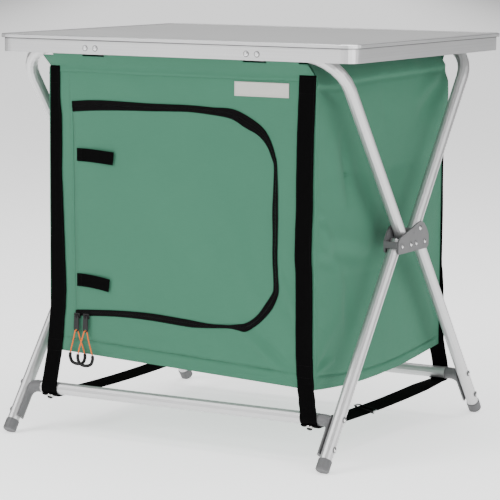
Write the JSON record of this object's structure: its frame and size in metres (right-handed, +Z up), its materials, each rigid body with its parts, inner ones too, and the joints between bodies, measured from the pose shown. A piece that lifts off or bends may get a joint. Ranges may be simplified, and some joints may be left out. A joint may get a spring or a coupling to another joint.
{
  "type": "camp kitchen cupboard",
  "caption": "Folding camp kitchen cupboard: fabric cabinet with a zipped door, hung in a crossed tubular aluminium frame under an aluminium-edged tabletop.",
  "frame": {"origin": "on the floor, midway between the four feet", "axes": "+Z up, +X towards the right seen from the front, the door faces -Y"},
  "size_m": [0.624, 0.5523, 0.62],
  "materials": {
    "frame_tube": "satin anodised tube",
    "grey_plastic": "moulded grey nylon",
    "foot_plastic": "dark grey moulded caps",
    "table_laminate": "pale grey laminate",
    "edge_aluminium": "satin extruded edge",
    "clip_metal": "plain sheet clip with rivets",
    "green_fabric": "green polyester cloth, coated inside",
    "shelf_board": "brown hardboard",
    "black_webbing": "black woven webbing",
    "zip_black": "black zip tape with plastic teeth",
    "slider_metal": "black painted zinc",
    "black_plastic": "black moulded plastic",
    "orange_cord": "thin orange cord",
    "pale_label": "pale woven label, blank"
  },
  "bodies": {
    "cupboard": {"front_top_frame": "frame_tube", "rear_leg_left": "frame_tube", "rear_leg_right": "frame_tube", "rear_elbow_left": "grey_plastic", "rear_elbow_right": "grey_plastic", "rear_foot_left": "foot_plastic", "rear_foot_right": "foot_plastic", "rear_cross_tube": "frame_tube", "hinge_bracket_left": "grey_plastic", "hinge_bracket_right": "grey_plastic", "pivot_pin_left": "frame_tube", "pivot_pin_right": "frame_tube", "front_panel": "green_fabric", "side_panel_left": "green_fabric", "side_panel_right": "green_fabric", "back_panel": "green_fabric", "floor_panel": "green_fabric", "front_sleeve": "green_fabric", "rear_sleeve": "green_fabric", "lower_shelf": "green_fabric", "lower_shelf_board": "shelf_board", "upper_shelf": "green_fabric", "upper_shelf_board": "shelf_board", "blank_label": "pale_label", "zip_tape_panel": "zip_black", "front_strap_left": "black_webbing", "front_strap_right": "black_webbing", "rear_strap_left": "black_webbing", "rear_strap_right": "black_webbing", "spreader_strap_left": "black_webbing", "spreader_strap_right": "black_webbing", "strap_buckle_left": "black_plastic", "strap_buckle_right": "black_plastic"},
    "turning_frame": {"rear_top_frame": "frame_tube", "front_leg_left": "frame_tube", "front_leg_right": "frame_tube", "front_elbow_left": "grey_plastic", "front_elbow_right": "grey_plastic", "front_foot_left": "foot_plastic", "front_foot_right": "foot_plastic", "front_cross_tube": "frame_tube", "hinge_plate_left": "grey_plastic", "hinge_plate_right": "grey_plastic"},
    "tabletop": {"tabletop_board": "table_laminate", "tabletop_edge": "edge_aluminium", "rear_stop": "grey_plastic", "rail_clip_left": "clip_metal", "rail_clip_right": "clip_metal"},
    "door": {"door_panel": "green_fabric", "zip_tape_door": "zip_black"},
    "upper_tab": {"upper_hold_tab": "black_webbing"},
    "lower_tab": {"lower_hold_tab": "black_webbing"},
    "left_slider": {"left_zip_slider": "slider_metal"},
    "right_slider": {"right_zip_slider": "slider_metal"},
    "left_pull": {"left_pull_tab": "slider_metal", "left_pull_cord": "orange_cord", "left_pull_grip": "black_plastic"},
    "right_pull": {"right_pull_tab": "slider_metal", "right_pull_cord": "orange_cord", "right_pull_grip": "black_plastic"}
  },
  "joints": [
    {"name": "frame_fold", "type": "hinge", "parent": "cupboard", "child": "turning_frame", "pos_m": [0, 0, 0.328], "axis": [1, 0, 0], "range_deg": [0, 74.2], "deforming": ["rear_sleeve", "front_strap_left", "front_strap_right", "spreader_strap_left", "spreader_strap_right"]},
    {"name": "tabletop_tilt", "type": "hinge", "parent": "cupboard", "child": "tabletop", "pos_m": [0, -0.23138, 0.6022], "axis": [1, 0, 0], "range_deg": [0, 37.1]},
    {"name": "door_swing", "type": "hinge", "parent": "cupboard", "child": "door", "pos_m": [-0.186, -0.21548, 0.3505], "axis": [0, 0, -1], "range_deg": [0, 105]},
    {"name": "upper_tab_lift", "type": "hinge", "parent": "door", "child": "upper_tab", "pos_m": [-0.182, -0.21578, 0.437], "axis": [0, 0, -1], "range_deg": [0, 60]},
    {"name": "lower_tab_lift", "type": "hinge", "parent": "door", "child": "lower_tab", "pos_m": [-0.182, -0.21578, 0.243], "axis": [0, 0, -1], "range_deg": [0, 60]},
    {"name": "left_slider_run", "type": "slide", "parent": "cupboard", "child": "left_slider", "axis": [1, 0, 0], "range_m": [0, 0.004]},
    {"name": "right_slider_run", "type": "slide", "parent": "cupboard", "child": "right_slider", "axis": [1, 0, 0], "range_m": [0, 0.26]},
    {"name": "right_pull_lift", "type": "hinge", "parent": "right_slider", "child": "right_pull", "pos_m": [-0.1648, -0.22068, 0.1862], "axis": [-1, 0, 0], "range_deg": [0, 85]},
    {"name": "left_pull_lift", "type": "hinge", "parent": "left_slider", "child": "left_pull", "pos_m": [-0.1815, -0.22068, 0.1862], "axis": [-1, 0, 0], "range_deg": [0, 85]}
  ],
  "couplings": [
    {"joint": "tabletop_tilt", "follows": "frame_fold", "ratio": 0.5},
    {"joint": "left_pull_lift", "follows": "right_pull_lift", "ratio": 1}
  ]
}
